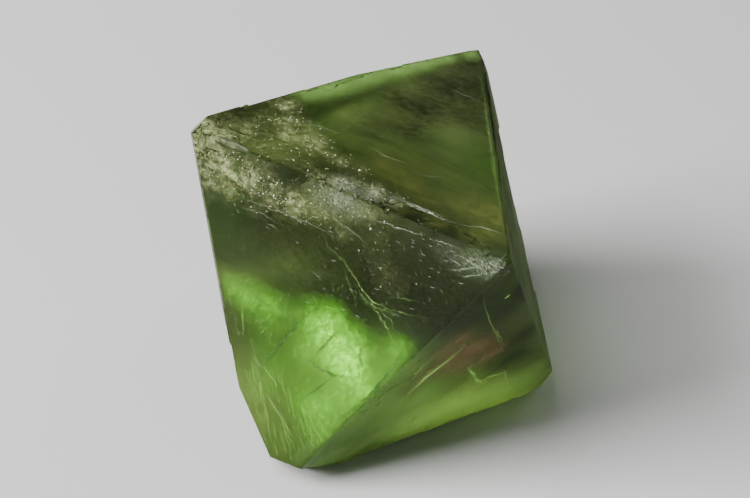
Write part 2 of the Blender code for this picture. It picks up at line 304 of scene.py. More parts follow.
# The stone's own shape, with its big faces divided so that the zones can be told apart.
stone_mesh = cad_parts["fluorite_crystal"].data.copy()
bm = bmesh.new()
bm.from_mesh(stone_mesh)
bmesh.ops.remove_doubles(bm, verts=bm.verts, dist=MERGE_DISTANCE)
low, high = cad_box
for axis in range(3):
    across = Vector([1.0 if number == axis else 0.0 for number in range(3)])
    cuts = int((high[axis] - low[axis]) / (CUT_PITCH * MM))
    for number in range(1, cuts + 1):
        at = across * (low[axis] + number * CUT_PITCH * MM)
        bmesh.ops.bisect_plane(bm, geom=bm.verts[:] + bm.edges[:] + bm.faces[:],
                               dist=CUT_TOLERANCE, plane_co=at, plane_no=across)
for zone, faces in ZONES.items():
    layer = bm.verts.layers.float.new(zone)
    spots = [(in_face(face, u, v, 0.0), radius * MM, strength)
             for face, rows in faces.items() for u, v, radius, strength in rows]
    for vert in bm.verts:
        left_over = 1.0
        for middle, radius, strength in spots:
            spread = (vert.co - middle).length_squared / radius ** 2
            if spread < SPOT_REACH:
                left_over *= 1.0 - strength * math.exp(-SPOT_FALL * spread)
        vert[layer] = 1.0 - left_over
surface = BVHTree.FromBMesh(bm)
bm.to_mesh(stone_mesh)
bm.free()
stone = new_object("fluorite_stone", stone_mesh, stone_collection, fluorite)
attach(stone, "root")
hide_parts("fluorite_crystal")

# ---- Lime feathers and painted glow -----------------------------------------------------------
# Healed cracks fan out under the lower half of the front face and catch the light. They are
# thin skins of fine fibres and bubbles. Their pale lime, strongest where they are thickest, is
# painted light: it stands in for light shining through the stone from behind. Two lie well inside
# the stone. A bright sheen on the front face, and a hazy glow on each face beside it, are films
# of the same painted light.
inlay_collection = new_collection("inside")
GRID_STEP = 0.35     # millimetres between the points of a veil
SKIN = 0.45          # least distance in millimetres between a veil and the stone's faces
SKIN_SLACK = 0.8     # share of that distance that a point keeps from the whole octahedron's planes
FAINTEST = 0.03      # a veil ends where its strength falls under this
FILM = -0.03         # depth in millimetres of a film: it lies on the stone's skin, just outside
OFF_STONE = -1.0     # a film's point that lies this far outside the planes is left out
PROBE_START = -1.5   # depth at which the search for the stone's real surface starts
PROBE_LENGTH = 4.0   # how far the search goes on from there, in millimetres
VEIL_REACH = 2.0     # a veil is looked for up to this many radii away from its spots
GAP_PITCH = 0.55     # how fine a patchy veil's gaps are, per millimetre
GAP_MIDDLE = 0.5     # how deep the gaps are on average
GAP_SWING = 1.8      # how far that goes up and down
WAVE_PITCH = 0.16    # how fine a veil's waves are, per millimetre
RIPPLE_PITCH = 0.7   # how fine its ripples are, per millimetre
RIPPLE_HEIGHT = 0.25  # of its ripples against its waves
GAP_SEED = 3.0       # sets the gaps apart from the waves
RIPPLE_SEED = 7.0    # sets the ripples apart from both


def spot_strength(spots, along_mm, inset_mm):
    """Soft round spots laid over each other. Each has a centre, a radius and a strength."""
    clear = 1.0
    for spot_along, spot_inset, radius, strength in spots:
        spread = ((along_mm - spot_along) ** 2 + (inset_mm - spot_inset) ** 2) / radius ** 2
        clear *= 1.0 - strength * math.exp(-SPOT_FALL * spread)
    return 1.0 - clear


def under_surface(face, along_mm, inset_mm, depth_mm):
    """A point so far under the stone's real, chipped surface, or None where there is none."""
    outward = face_axes(face)[3]
    start = in_face(face, along_mm, inset_mm, PROBE_START)
    hit = surface.ray_cast(start, -outward, PROBE_LENGTH * MM)[0]
    return None if hit is None else hit - outward * depth_mm * MM


def inside_by(point):
    """Distance in millimetres from a point to the nearest of the eight planes."""
    nearest = 1.0e9
    for face in FACES:
        start, _, _, outward = face_axes(face)
        nearest = min(nearest, (start - point).dot(outward) / MM)
    return nearest


def inlay(name, mesh, material):
    """A piece that belongs to the stone, from its finished mesh."""
    made = new_object(name, mesh, inlay_collection, material)
    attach(made, "root")
    return made


def add_outward_face(bm, uv_layer, corners, outward):
    """One face from (vertex, place on the stone's face) pairs, turned to point out of the stone."""
    made = bm.faces.new([vert for vert, _ in corners])
    made.smooth = True
    uvs = dict(corners)
    made.normal_update()
    if made.normal.dot(outward) < 0.0:
        made.normal_flip()
    for loop in made.loops:
        loop[uv_layer].uv = uvs[loop.vert]


def start_skin():
    """An empty mesh for a skin, with its strength on each point and its place in millimetres."""
    bm = bmesh.new()
    return bm, bm.verts.layers.float.new("strength"), bm.loops.layers.uv.new("face_mm")


def end_skin(name, bm, unwanted):
    """The finished mesh of a skin, without the points that aren't wanted."""
    bmesh.ops.delete(bm, geom=unwanted, context="VERTS")
    mesh = bpy.data.meshes.new(name)
    bm.to_mesh(mesh)
    bm.free()
    return mesh


def veil_mesh(name, face, spots, depth, wander, seed, skin=SKIN, patchy=0.0):
    """A wavy skin under a face, present where its spots are, with its strength on each point."""
    outward = face_axes(face)[3]
    low = [min(spot[axis] - VEIL_REACH * spot[2] for spot in spots) for axis in (0, 1)]
    high = [max(spot[axis] + VEIL_REACH * spot[2] for spot in spots) for axis in (0, 1)]
    columns = int((high[0] - low[0]) / GRID_STEP) + 1
    rows = int((high[1] - low[1]) / GRID_STEP) + 1
    bm, layer, uv_layer = start_skin()
    grid = {}
    for column in range(columns):
        for row in range(rows):
            u = low[0] + column * GRID_STEP
            v = low[1] + row * GRID_STEP
            gap = GAP_MIDDLE - GAP_SWING * noise.noise(
                Vector((u * GAP_PITCH, v * GAP_PITCH, seed + GAP_SEED)))
            strength = spot_strength(spots, u, v) * (1.0 - patchy * max(0.0, min(1.0, gap)))
            if strength < FAINTEST:
                continue
            wave = noise.noise(Vector((u * WAVE_PITCH, v * WAVE_PITCH, seed)))
            ripple = noise.noise(
                Vector((u * RIPPLE_PITCH, v * RIPPLE_PITCH, seed + RIPPLE_SEED)))
            down = depth + wander * (wave + RIPPLE_HEIGHT * ripple)
            point = under_surface(face, u, v, max(down, skin))
            room = skin * SKIN_SLACK if skin > 0.0 else OFF_STONE
            if point is None or inside_by(point) < room:
                continue
            vert = bm.verts.new(point)
            vert[layer] = strength
            grid[column, row] = (vert, (u, v))
    for column, row in list(grid):
        corners = [(column, row), (column + 1, row), (column + 1, row + 1), (column, row + 1)]
        if all(corner in grid for corner in corners):
            add_outward_face(bm, uv_layer, [grid[corner] for corner in corners], outward)
    return end_skin(name, bm, [vert for vert in bm.verts if not vert.link_faces])


def veil(name, face, spots, material, seed, depth, wander):
    """A skin inside the stone. It lies so deep on average, and wanders so far up and down."""
    return inlay(name, veil_mesh(name, face, spots, depth, wander, seed), material)


def film(name, face, spots, material, seed, depth=FILM, patchy=0.0):
    """A skin on the stone's own face. Its depth sets it over or under the other films there."""
    return inlay(name, veil_mesh(name, face, spots, depth, 0.0, seed, depth, patchy), material)


def new_group(name, kind, inputs, outputs):
    """An empty node group with named sockets, and the nodes that they come in and go out by."""
    group = bpy.data.node_groups.new(name, kind)
    for way, sockets in (("INPUT", inputs), ("OUTPUT", outputs)):
        for socket, socket_kind in sockets:
            group.interface.new_socket(socket, in_out=way, socket_type="NodeSocket" + socket_kind)
    return group, group.nodes.new("NodeGroupInput"), group.nodes.new("NodeGroupOutput")


# Shared effect: a fibrous mask. It is stretched along one direction and broken up by finer noise.
fibre_mask, entry, leave = new_group(
    "fibre_mask", "ShaderNodeTree",
    [("Vector", "Vector"), ("Angle", "Float"), ("Fibre Scale", "Float"), ("Stretch", "Float"),
     ("Cut", "Float"), ("Softness", "Float")], [("Mask", "Float")])
turned = add(fibre_mask, "ShaderNodeVectorRotate", {"rotation_type": "Z_AXIS"},
             links={"Vector": entry.outputs["Vector"], "Angle": entry.outputs["Angle"]})
parts = add(fibre_mask, "ShaderNodeSeparateXYZ", links={"Vector": turned.outputs["Vector"]})
thin = add(fibre_mask, "ShaderNodeMath", {"operation": "MULTIPLY"},
           links={0: parts.outputs["Y"], 1: entry.outputs["Stretch"]})
stretched = add(fibre_mask, "ShaderNodeCombineXYZ",
                links={"X": parts.outputs["X"], "Y": thin.outputs["Value"]})
fibrous = add(fibre_mask, "ShaderNodeTexNoise",
              values={"Detail": 7.0, "Roughness": 0.74, "Distortion": 0.4},
              links={"Vector": stretched.outputs["Vector"], "Scale": entry.outputs["Fibre Scale"]})
full = add(fibre_mask, "ShaderNodeMath", {"operation": "ADD"},
           links={0: entry.outputs["Cut"], 1: entry.outputs["Softness"]})
cut = add(fibre_mask, "ShaderNodeMapRange",
          links={"Value": fibrous.outputs["Fac"], "From Min": entry.outputs["Cut"],
                 "From Max": full.outputs["Value"]})
fibre_mask.links.new(cut.outputs["Result"], leave.inputs["Mask"])


def veil_material(name, thin, thick, angle, scale, stretch, cut, softness, most, least,
                  specular=0.2):
    """A skin whose cover and colour both follow its strength, broken up by the fibrous mask.

    It is thin-coloured where it is faint. Most is its greatest cover, and least is the share of
    its cover that it keeps between its fibres.
    """
    material, tree, shader = new_material(name, {"Roughness": 0.55, "Specular IOR Level": specular})
    uv = add(tree, "ShaderNodeUVMap", {"uv_map": "face_mm"})
    strength = add(tree, "ShaderNodeAttribute", {"attribute_name": "strength"})
    mask = add(tree, "ShaderNodeGroup", {"node_tree": fibre_mask},
               {"Angle": angle, "Fibre Scale": scale, "Stretch": stretch, "Cut": cut,
                "Softness": softness}, {"Vector": uv.outputs["UV"]})
    broken = add(tree, "ShaderNodeMapRange", values={"To Min": least, "To Max": 1.0},
                 links={"Value": mask.outputs["Mask"]})
    cover = add(tree, "ShaderNodeMath", {"operation": "MULTIPLY"},
                links={0: strength.outputs["Fac"], 1: broken.outputs["Result"]})
    alpha = add(tree, "ShaderNodeMath", {"operation": "MULTIPLY"}, {1: most},
                {0: cover.outputs["Value"]})
    color = add(tree, "ShaderNodeMix", {"data_type": "RGBA"}, {"A": (*thin, 1.0), "B": (*thick, 1.0)},
                {"Factor": cover.outputs["Value"]})
    tree.links.new(color.outputs["Result"], shader.inputs["Base Color"])
    tree.links.new(alpha.outputs["Value"], shader.inputs["Alpha"])
    return material


LIME_SPOTS = [
    (23.7, 17.3, 2.4, 0.95), (21.6, 15.7, 3.0, 0.9), (17.3, 15.5, 3.2, 0.8), (12.6, 14.8, 2.0, 0.65),
    (26.3, 14.5, 2.1, 0.75), (28.4, 13.9, 1.7, 0.6), (21.1, 22.4, 3.7, 0.7), (17.0, 21.7, 3.2, 0.5),
    (23.6, 22.8, 1.9, 0.7), (20.8, 27.3, 2.4, 0.45), (13.9, 19.2, 2.8, 0.4), (16.4, 27.5, 1.9, 0.35),
    (10.3, 15.6, 1.5, 0.6), (26.6, 18.6, 1.2, 0.6),
]
LIME_CORNER_SPOTS = [
    (31.8, 6.3, 1.9, 0.5), (27.8, 11.9, 3.0, 0.7), (24.9, 16.1, 3.0, 0.8), (22.7, 21.2, 2.8, 0.9),
    (20.6, 25.5, 2.3, 0.9), (18.4, 27.9, 1.5, 0.8), (18.6, 6.6, 1.7, 0.35), (22.2, 8.8, 2.3, 0.7),
    (26.0, 9.0, 2.3, 0.6), (17.4, 25.0, 1.9, 0.8), (30.2, 6.8, 2.4, 0.7), (32.0, 3.0, 2.4, 0.8),
    (25.5, 3.5, 2.4, 0.4), (21.0, 2.5, 2.2, 0.3), (19.8, 10.9, 1.6, 0.3),
]
LIME_STRIP_SPOTS = [
    (7.4, 13.5, 1.2, 0.35), (8.8, 15.4, 1.2, 0.35), (10.2, 17.9, 1.2, 0.4), (11.7, 20.8, 1.1, 0.4),
    (13.2, 23.7, 1.1, 0.5), (14.9, 26.4, 1.0, 0.5), (6.7, 12.6, 1.5, 0.5), (8.1, 14.4, 1.5, 0.5),
    (9.5, 16.4, 1.4, 0.5), (10.9, 19.3, 1.3, 0.6), (12.4, 22.3, 1.4, 0.8), (14.0, 25.0, 1.3, 0.8),
    (15.7, 27.7, 1.1, 0.7), (17.6, 29.9, 1.1, 0.6),
]
SHEEN_SPOTS = [
    (23.4, 17.4, 1.7, 0.85), (26.1, 18.7, 1.5, 0.6), (23.6, 15.4, 1.9, 0.7), (21.1, 15.2, 1.9, 0.85),
    (19.0, 14.2, 1.9, 0.5), (20.8, 12.9, 1.2, 0.35), (11.5, 14.6, 1.5, 0.35), (9.3, 14.5, 1.2, 0.3),
    (14.1, 14.7, 1.5, 0.35), (28.5, 16.1, 1.5, 0.3), (28.4, 13.3, 1.3, 0.35), (22.0, 22.4, 1.9, 0.35),
    (23.3, 24.8, 1.7, 0.25), (24.4, 20.8, 1.7, 0.35), (28.1, 21.5, 0.8, 0.35), (26.6, 24.1, 0.8, 0.3),
    (19.1, 18.0, 1.4, 0.3), (14.2, 17.2, 2.0, 0.1), (16.5, 20.5, 2.0, 0.15), (14.8, 23.5, 1.6, 0.1),
    (20.6, 22.9, 1.8, 0.2), (24.4, 17.3, 1.3, 0.6), (22.2, 16.4, 1.5, 0.4),
]
# Painted light: the veils' bright lime stands in for light shining through the stone.
painted_glow_feather = veil_material(
    "painted_glow_feather", (0.2, 0.42, 0.07), (0.66, 0.98, 0.34),
    angle=-0.2, scale=0.8, stretch=0.25, cut=0.34, softness=0.35, most=0.35, least=0.35)
lime_sheen = veil_material(
    "lime_sheen", (0.1, 0.42, 0.012), (0.3, 0.98, 0.03),
    angle=-0.2, scale=1.7, stretch=0.6, cut=0.38, softness=0.26, most=0.95, least=0.35)
# Painted light: a hazy lime glow on the faces beside the front.
painted_glow_haze = veil_material(
    "painted_glow_haze", (0.2, 0.4, 0.08), (0.4, 0.74, 0.18),
    angle=0.4, scale=0.5, stretch=0.5, cut=0.32, softness=0.4, most=0.5, least=0.6)
# Painted glow under and on the front face, and on the faces beside it.
veil("painted_glow_feather_upper", "front", LIME_SPOTS, painted_glow_feather, seed=3.0, depth=1.2, wander=0.9)
veil("painted_glow_feather_lower", "front", LIME_SPOTS, painted_glow_feather, seed=11.0, depth=3.2, wander=1.6)
film("lime_sheen", "front", SHEEN_SPOTS, lime_sheen, seed=4.0)
film("painted_glow_feather_corner", "front_right", LIME_CORNER_SPOTS, painted_glow_haze, seed=5.0)
film("painted_glow_feather_strip", "top", LIME_STRIP_SPOTS, painted_glow_haze, seed=6.0)

# ---- Milky corner, bruises, tints and painted shade -------------------------------------------
# Knocks on the left corner and along the upper edge left the stone white and cloudy there.
# Beside them its skin is hazy in places. Near-black films on the top and front faces are painted
# shade, standing in for dark surroundings seen through the stone, and a dark film over the right
# face is painted shade standing in for dark surroundings mirrored in it. One place beside the
# lower right edge is tinted brown. All of these are films on the stone's own faces.
milk = veil_material(
    "milk", (0.22, 0.25, 0.09), (0.58, 0.63, 0.32),
    angle=-0.35, scale=1.5, stretch=1.15, cut=0.41, softness=0.26, most=0.64, least=0.14)
frost = veil_material(
    "frost", (0.2, 0.25, 0.15), (0.62, 0.68, 0.52),
    angle=-0.5, scale=2.4, stretch=2.2, cut=0.44, softness=0.24, most=0.65, least=0.08)
olive_haze = veil_material(
    "olive_haze", (0.1, 0.13, 0.03), (0.26, 0.28, 0.06),
    angle=-0.15, scale=0.6, stretch=1.8, cut=0.38, softness=0.3, most=0.36, least=0.35)
# A brown film beside the lower right edge of the front right face.
brown_tint = veil_material(
    "brown_tint", (0.13, 0.09, 0.035), (0.25, 0.14, 0.06),
    angle=0.5, scale=0.6, stretch=1.8, cut=0.34, softness=0.3, most=0.66, least=0.6)
# Painted shade: a near-black film where dark surroundings would show through the stone.
painted_shade = veil_material(
    "painted_shade", (0.022, 0.028, 0.01), (0.01, 0.012, 0.005),
    angle=-0.15, scale=0.9, stretch=1.7, cut=0.42, softness=0.16, most=0.75, least=0.1, specular=0.0)
# Painted shade: a dull dark film that darkens what the right face mirrors.
right_face_shade = veil_material(
    "right_face_shade", (0.03, 0.06, 0.012), (0.016, 0.03, 0.008),
    angle=0.0, scale=0.8, stretch=1.5, cut=0.4, softness=0.2, most=0.42, least=0.6, specular=0.0)
MILK_TOP = [(1.4, 1.0, 1.9, 1.0), (3.5, 1.5, 2.1, 0.6), (5.5, 3.1, 2.1, 0.4)]
MILK_FRONT = [(1.6, 2.2, 1.7, 1.0), (3.7, 3.0, 2.1, 0.8), (3.0, 5.0, 1.3, 0.5)]
CRUMBS_TOP = [
    (6.3, 9.2, 1.3, 0.9), (8.0, 7.4, 1.3, 0.9), (6.2, 6.0, 1.3, 0.4), (10.8, 5.7, 1.5, 0.9),
    (9.0, 4.7, 1.3, 0.7), (12.5, 5.2, 0.85, 1.0), (11.8, 2.2, 1.5, 0.5), (15.9, 4.2, 0.95, 0.7),
    (14.1, 4.3, 0.95, 0.5), (17.9, 4.2, 0.85, 0.7), (17.6, 1.1, 1.4, 1.0), (20.6, 1.7, 1.2, 1.0),
    (23.0, 1.9, 0.85, 0.8), (14.9, 0.5, 1.5, 0.5), (8.1, 1.0, 1.7, 0.5), (4.9, 1.2, 1.5, 0.5),
    (2.5, 1.0, 1.5, 0.4),
]
CRUMBS_FRONT = [
    (2.5, 3.4, 1.3, 0.7), (4.3, 2.7, 1.5, 1.0), (6.2, 2.7, 1.3, 0.8), (7.8, 2.7, 1.3, 0.8),
    (9.5, 2.9, 1.3, 0.8), (11.1, 3.2, 1.3, 1.0), (12.8, 3.3, 1.3, 0.9), (14.5, 3.3, 1.1, 0.8),
    (16.3, 3.2, 0.95, 0.6), (18.1, 2.9, 0.85, 0.5), (3.8, 4.3, 0.95, 0.8), (6.4, 4.9, 1.1, 0.4),
    (1.7, 1.9, 1.1, 0.6), (8.9, 5.4, 1.1, 0.3), (19.8, 1.9, 0.85, 0.5), (21.4, 1.0, 0.95, 0.6),
    (23.3, 0.7, 0.85, 0.4), (19.3, 4.4, 0.75, 0.25), (22.9, 3.0, 0.85, 0.3), (24.6, 6.6, 1.5, 0.12),
    (23.0, 5.1, 1.7, 0.1), (26.9, 6.8, 1.5, 0.1),
]
FROST_TOP = [(17.6, 0.8, 1.4, 0.8), (20.6, 1.2, 1.2, 0.8), (23.0, 1.6, 0.85, 0.6)]
FROST_FRONT = [
    (17.5, 1.0, 1.4, 0.7), (19.5, 1.0, 1.1, 0.6), (15.5, 1.2, 1.2, 0.4), (33.4, 1.5, 1.1, 0.6),
    (35.0, 1.5, 1.1, 0.8), (36.1, 0.9, 0.8, 0.9), (31.8, 1.9, 1.1, 0.4), (29.8, 1.6, 1.1, 0.25),
]
OLIVE_SPOTS = [
    (19.4, 6.4, 2.2, 0.6), (23.0, 5.0, 2.0, 0.6), (31.9, 5.6, 2.4, 0.8), (29.0, 5.0, 2.0, 0.5),
    (26.0, 3.6, 2.0, 0.5), (33.5, 2.5, 1.8, 0.6), (28.0, 1.0, 1.2, 0.6), (24.0, 0.9, 1.0, 0.5),
    (31.5, 1.0, 1.2, 0.6), (13.0, 9.0, 2.0, 0.3),
]
BROWN_TINT_SPOTS = [
    (13.9, 8.8, 2.0, 0.9), (13.1, 10.4, 1.5, 0.7), (15.5, 7.0, 2.0, 1.0), (18.0, 5.4, 1.6, 0.7),
    (20.2, 5.4, 1.4, 0.5), (12.1, 5.2, 1.4, 0.9), (14.2, 3.9, 1.3, 0.8), (15.2, 13.1, 1.6, 0.9),
    (13.9, 13.9, 1.2, 0.7), (16.5, 9.8, 1.9, 0.9),
]
PAINTED_SHADE_FRONT = [
    (18.4, 6.6, 4.2, 0.7), (23.3, 6.3, 4.2, 0.8), (28.9, 6.9, 3.2, 0.8), (13.0, 7.0, 3.0, 0.7),
    (32.1, 5.8, 2.5, 0.6),
]
RIGHT_SHADE_SPOTS = [(11.0, 2.5, 4.5, 1.0), (19.0, 2.5, 4.5, 1.0), (27.0, 2.0, 4.0, 0.7)]
PAINTED_SHADE_DEPTH = FILM * 0.8
BROWN_TINT_DEPTH = FILM * 1.2
FROST_DEPTH = FILM * 1.3
MILK_GAPS = 0.6  # how far a gap thins the milk out
film("milk_top", "top", MILK_TOP + CRUMBS_TOP, milk, seed=21.0, patchy=MILK_GAPS)
film("milk_front", "front", MILK_FRONT + CRUMBS_FRONT, milk, seed=41.0, patchy=MILK_GAPS)
film("frost_top", "top", FROST_TOP, frost, seed=25.0, depth=FROST_DEPTH)
film("frost_front", "front", FROST_FRONT, frost, seed=26.0, depth=FROST_DEPTH)
film("olive_haze", "top", OLIVE_SPOTS, olive_haze, seed=27.0)
film("brown_tint", "front_right", BROWN_TINT_SPOTS, brown_tint, seed=23.0, depth=BROWN_TINT_DEPTH)
# Painted shade over the dark zones of the top and the front.
film("painted_shade_top", "top", ZONES["dark"]["top"], painted_shade, seed=28.0, depth=PAINTED_SHADE_DEPTH)
film("painted_shade_front", "front", PAINTED_SHADE_FRONT, painted_shade, seed=29.0, depth=PAINTED_SHADE_DEPTH)
# Painted shade over the right face.
film("painted_shade_right", "right", RIGHT_SHADE_SPOTS, right_face_shade, seed=30.0)

# ---- Crumbs -----------------------------------------------------------------------------------
# Where the edge was crushed the stone is sugary: loose grains still sit in their own hollows.
# Most are white, some are stained beige or brown.
SCATTER_SEED = 5
CRUMB_DEPTH = 0.02   # of a grain's middle under the stone's skin, in millimetres
CRUMBS_PER_MM2 = 5.0
ANY_DEPTH = -1.0     # least depth of the skin that grains or threads are scattered over
SCATTER_INPUTS = [("Geometry", "Geometry"), ("Density", "Float"), ("Smallest", "Vector"),
                  ("Largest", "Vector"), ("Seed", "Int"), ("Material", "Material")]


def scatter_points(group, entry):
    """Random points over a skin, more of them where it is strong, and a random size for each."""
    strength = add(group, "GeometryNodeInputNamedAttribute", {"data_type": "FLOAT"},
                   {"Name": "strength"})
    density = add(group, "ShaderNodeMath", {"operation": "MULTIPLY"},
                  links={0: strength.outputs["Attribute"], 1: entry.outputs["Density"]})
    points = add(group, "GeometryNodeDistributePointsOnFaces", {"distribute_method": "RANDOM"},
                 links={"Mesh": entry.outputs["Geometry"], "Density": density.outputs["Value"],
                        "Seed": entry.outputs["Seed"]})
    scales = add(group, "FunctionNodeRandomValue", {"data_type": "FLOAT_VECTOR"},
                links={"Min": entry.outputs["Smallest"], "Max": entry.outputs["Largest"],
                       "Seed": entry.outputs["Seed"]})
    return points, scales.outputs["Value"]


def place_on_points(group, entry, leave, points, shape, rotation, scales):
    """A shape on each point, with a random tone of its own, as one mesh in its material."""
    placed = add(group, "GeometryNodeInstanceOnPoints",
                 links={"Points": points.outputs["Points"], "Instance": shape.outputs["Mesh"],
                        "Rotation": rotation, "Scale": scales})
    tone = add(group, "FunctionNodeRandomValue", {"data_type": "FLOAT"}, {"Min": 0.0, "Max": 1.0},
               {"Seed": entry.outputs["Seed"]})
    toned = add(group, "GeometryNodeStoreNamedAttribute",
                {"data_type": "FLOAT", "domain": "INSTANCE"}, {"Name": "tone"},
                {"Geometry": placed.outputs["Instances"], "Value": tone.outputs[1]})
    real = add(group, "GeometryNodeRealizeInstances", links={"Geometry": toned.outputs["Geometry"]})
    coated = add(group, "GeometryNodeSetMaterial",
                 links={"Geometry": real.outputs["Geometry"], "Material": entry.outputs["Material"]})
    group.links.new(coated.outputs["Geometry"], leave.inputs["Geometry"])


scatter_grains, entry, leave = new_group("scatter_grains", "GeometryNodeTree", SCATTER_INPUTS,
                                         [("Geometry", "Geometry")])
points, scales = scatter_points(scatter_grains, entry)
turns = add(scatter_grains, "FunctionNodeRandomValue", {"data_type": "FLOAT_VECTOR"},
            {"Min": (0.0, 0.0, 0.0), "Max": (6.28, 6.28, 6.28)}, {"Seed": entry.outputs["Seed"]})
grain = add(scatter_grains, "GeometryNodeMeshIcoSphere", values={"Radius": 1.0, "Subdivisions": 1})
place_on_points(scatter_grains, entry, leave, points, grain, turns.outputs["Value"], scales)


def scatter(name, face, spots, depth, group, values, material, seed):
    """A node group's grains or threads over a band of a face, as a plain mesh."""
    base_mesh = veil_mesh(name, face, spots, depth, 0.0, float(seed), skin=ANY_DEPTH)
    base = new_object(name + "_base", base_mesh, inlay_collection, material)
    modifier = base.modifiers.new("scatter", "NODES")
    modifier.node_group = group
    values = dict(values, Seed=seed, Material=material)
    for item in group.interface.items_tree:
        if item.in_out == "INPUT" and item.name in values:
            modifier[item.identifier] = values[item.name]
    depsgraph = bpy.context.evaluated_depsgraph_get()
    mesh = bpy.data.meshes.new_from_object(base.evaluated_get(depsgraph), depsgraph=depsgraph)
    base.modifiers.remove(modifier)
    bpy.data.objects.remove(base)
    return inlay(name, mesh, material)


def toned_material(name, roughness, specular, cover, tones):
    """A few fixed tones. Each grain or thread has one of them, by its own number from 0 to 1."""
    material, tree, shader = new_material(
        name, {"Roughness": roughness, "Specular IOR Level": specular, "Alpha": cover})
    tone = add(tree, "ShaderNodeAttribute", {"attribute_name": "tone"})
    ramp = add(tree, "ShaderNodeValToRGB", links={"Fac": tone.outputs["Fac"]})
    ramp.color_ramp.interpolation = "CONSTANT"
    stops = ramp.color_ramp.elements
    stops.remove(stops[1])
    for number, (start, tint) in enumerate(tones):
        stop = stops.new(start) if number else stops[0]
        stop.color = (*tint, 1.0)
    tree.links.new(ramp.outputs["Color"], shader.inputs["Base Color"])
    return material


crumb = toned_material("crumb", roughness=0.35, specular=0.4, cover=1.0, tones=[
    (0.0, (0.3, 0.36, 0.18)), (0.35, (0.18, 0.24, 0.08)), (0.58, (0.34, 0.28, 0.14)),
    (0.78, (0.55, 0.58, 0.42)), (0.9, (0.1, 0.07, 0.03)), (0.95, (0.74, 0.76, 0.66)),
])
GRAIN_SIZES = {"Density": CRUMBS_PER_MM2 / MM ** 2, "Smallest": Vector((0.03, 0.03, 0.03)) * MM,
               "Largest": Vector((0.09, 0.16, 0.08)) * MM}
scatter("crumbs_top", "top", CRUMBS_TOP, CRUMB_DEPTH, scatter_grains, GRAIN_SIZES, crumb,
        SCATTER_SEED)
scatter("crumbs_front", "front", CRUMBS_FRONT, CRUMB_DEPTH, scatter_grains, GRAIN_SIZES, crumb,
        SCATTER_SEED + 1)

# ---- Cracks and streaks -----------------------------------------------------------------------
# Fine cracks show along a line where light catches them, and fade out to one side of it.
# Some are silvery, some lime, and a few are closed and look like dark hairs. Some lines are
# painted light rather than cracks: silvery streaks near the top's front edge paint the glint of
# the stone's lower back edge seen through the top face, lime lines along the faces' edges paint
# rims of light, a few lime lines belong to the front face's painted glow, and the lines on the
# front right face are painted brighter, as though lit. Each is a thin ribbon on the stone's skin.
CRACK_STEP = 0.15    # millimetres between the points of a crack
CRACK_DEPTH = FILM * 1.5
CRACK_SWAY = 0.14    # how far a crack sways from its corner points, in millimetres
SWAY_PITCHES = (1.3, 3.7)  # how fine its coarse and its fine sway are, per millimetre
CRACK_TAPER = 2.5    # a crack fades in over 1 / 2.5 of its length, and out over the same
CRACK_START = 0.3    # steps of that fade which its first and its last point are already into
RAGGED = 0.65        # middle width of a crack's ragged far side against the width in its row
RAGGED_SWING = 0.7   # how far that width swings to either side
RAGGED_PITCH = 0.9   # how fine its swing is, per millimetre
RAGGED_SEED = 40.0   # sets the swing apart from the sway
LEAST_RAGGED = 0.3   # its least width
SHOULDER = 0.3       # where a crack has faded to its shoulder, as a share of its far side
SHOULDER_LIGHT = 0.42  # its strength there
MISSED = -1.0        # depth given to a point that misses the stone
CRACK_OFF_STONE = -0.6  # a point that lies this far outside the planes is deleted


def smooth_path(points):
    """The corner points of a crack, filled in at an even pitch."""
    path = []
    for (u0, v0), (u1, v1) in zip(points, points[1:]):
        count = max(1, int(math.hypot(u1 - u0, v1 - v0) / CRACK_STEP))
        path += [(u0 + (u1 - u0) * n / count, v0 + (v1 - v0) * n / count) for n in range(count)]
    return path + [points[-1]]


def cracks(name, face, rows, material, seed):
    """Each row is a crack: strength, width before and after its line, and its corner points."""
    outward = face_axes(face)[3]
    bm, layer, uv_layer = start_skin()
    for number, (strength, before, after, points) in enumerate(rows):
        path = smooth_path(points)
        last = None
        for step, (u, v) in enumerate(path):
            ahead = path[min(step + 1, len(path) - 1)]
            behind = path[max(step - 1, 0)]
            run = Vector((ahead[0] - behind[0], ahead[1] - behind[1])).normalized()
            side = Vector((-run.y, run.x))
            shift = sum(CRACK_SWAY * noise.noise(Vector((u * pitch, v * pitch, seed + number)))
                        for pitch in SWAY_PITCHES)
            to_end = len(path) - (1.0 - CRACK_START) - step
            fade = min(1.0, CRACK_TAPER * (step + CRACK_START) / len(path),
                       CRACK_TAPER * to_end / len(path))
            ragged = RAGGED + RAGGED_SWING * noise.noise(
                Vector((u * RAGGED_PITCH, v * RAGGED_PITCH, seed + RAGGED_SEED)))
            now = []
            for offset, share in ((-before, 0.0), (0.0, 1.0), (after * SHOULDER, SHOULDER_LIGHT),
                                  (after, 0.0)):
                reach = shift + offset * max(LEAST_RAGGED, ragged if offset > 0.0 else 1.0)
                spot = (u + side.x * reach, v + side.y * reach)
                point = under_surface(face, *spot, CRACK_DEPTH) or in_face(face, *spot, MISSED)
                vert = bm.verts.new(point)
                vert[layer] = strength * share * max(fade, 0.0)
                now.append((vert, spot))
            if last:
                for one in range(3):
                    add_outward_face(bm, uv_layer,
                                     (last[one], last[one + 1], now[one + 1], now[one]), outward)
            last = now
    off_stone = [vert for vert in bm.verts if inside_by(vert.co) < CRACK_OFF_STONE]
    return inlay(name, end_skin(name, bm, off_stone), material)


